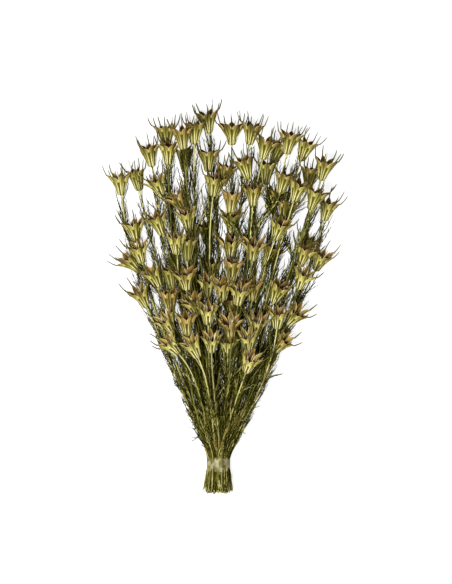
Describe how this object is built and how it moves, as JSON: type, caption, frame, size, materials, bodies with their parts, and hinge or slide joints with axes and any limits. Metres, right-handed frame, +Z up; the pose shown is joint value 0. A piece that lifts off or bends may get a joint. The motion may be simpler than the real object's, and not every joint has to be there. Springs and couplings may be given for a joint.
{
  "type": "bunch of dried nigella seed pods",
  "caption": "Tied bunch of long dried stems with horned, cup-shaped seed pods and fine thread leaves, lying flat, fanned out from a band of tape.",
  "frame": {"origin": "centre of the bounding box's underside, on the surface that the bunch lies on", "axes": "+Y along the bunch, from the cut ends to the pods; +X across the bunch, to the right as seen from above with the pods at the top; +Z up from the surface"},
  "size_m": [0.3604, 0.5946, 0.1559],
  "materials": {
    "dried_plant": "dry and matt, pale yellow-green pods with brown tips, dark olive leaves",
    "tie_tape": "thin whitish tape, slightly glossy"
  },
  "bodies": {
    "root": {"flowering_stem_01": "dried_plant", "flowering_stem_02": "dried_plant", "flowering_stem_03": "dried_plant", "flowering_stem_04": "dried_plant", "flowering_stem_05": "dried_plant", "flowering_stem_06": "dried_plant", "flowering_stem_07": "dried_plant", "flowering_stem_08": "dried_plant", "flowering_stem_09": "dried_plant", "flowering_stem_10": "dried_plant", "flowering_stem_11": "dried_plant", "flowering_stem_12": "dried_plant", "flowering_stem_13": "dried_plant", "flowering_stem_14": "dried_plant", "flowering_stem_15": "dried_plant", "flowering_stem_16": "dried_plant", "flowering_stem_17": "dried_plant", "flowering_stem_18": "dried_plant", "flowering_stem_19": "dried_plant", "flowering_stem_20": "dried_plant", "flowering_stem_21": "dried_plant", "flowering_stem_22": "dried_plant", "flowering_stem_23": "dried_plant", "flowering_stem_24": "dried_plant", "flowering_stem_25": "dried_plant", "flowering_stem_26": "dried_plant", "flowering_stem_27": "dried_plant", "flowering_stem_28": "dried_plant", "flowering_stem_29": "dried_plant", "flowering_stem_30": "dried_plant", "flowering_stem_31": "dried_plant", "flowering_stem_32": "dried_plant", "flowering_stem_33": "dried_plant", "flowering_stem_34": "dried_plant", "flowering_stem_35": "dried_plant", "flowering_stem_36": "dried_plant", "flowering_stem_37": "dried_plant", "flowering_stem_38": "dried_plant", "flowering_stem_39": "dried_plant", "flowering_stem_40": "dried_plant", "flowering_stem_41": "dried_plant", "flowering_stem_42": "dried_plant", "flowering_stem_43": "dried_plant", "flowering_stem_44": "dried_plant", "flowering_stem_45": "dried_plant", "tie": "tie_tape"}
  },
  "joints": []
}
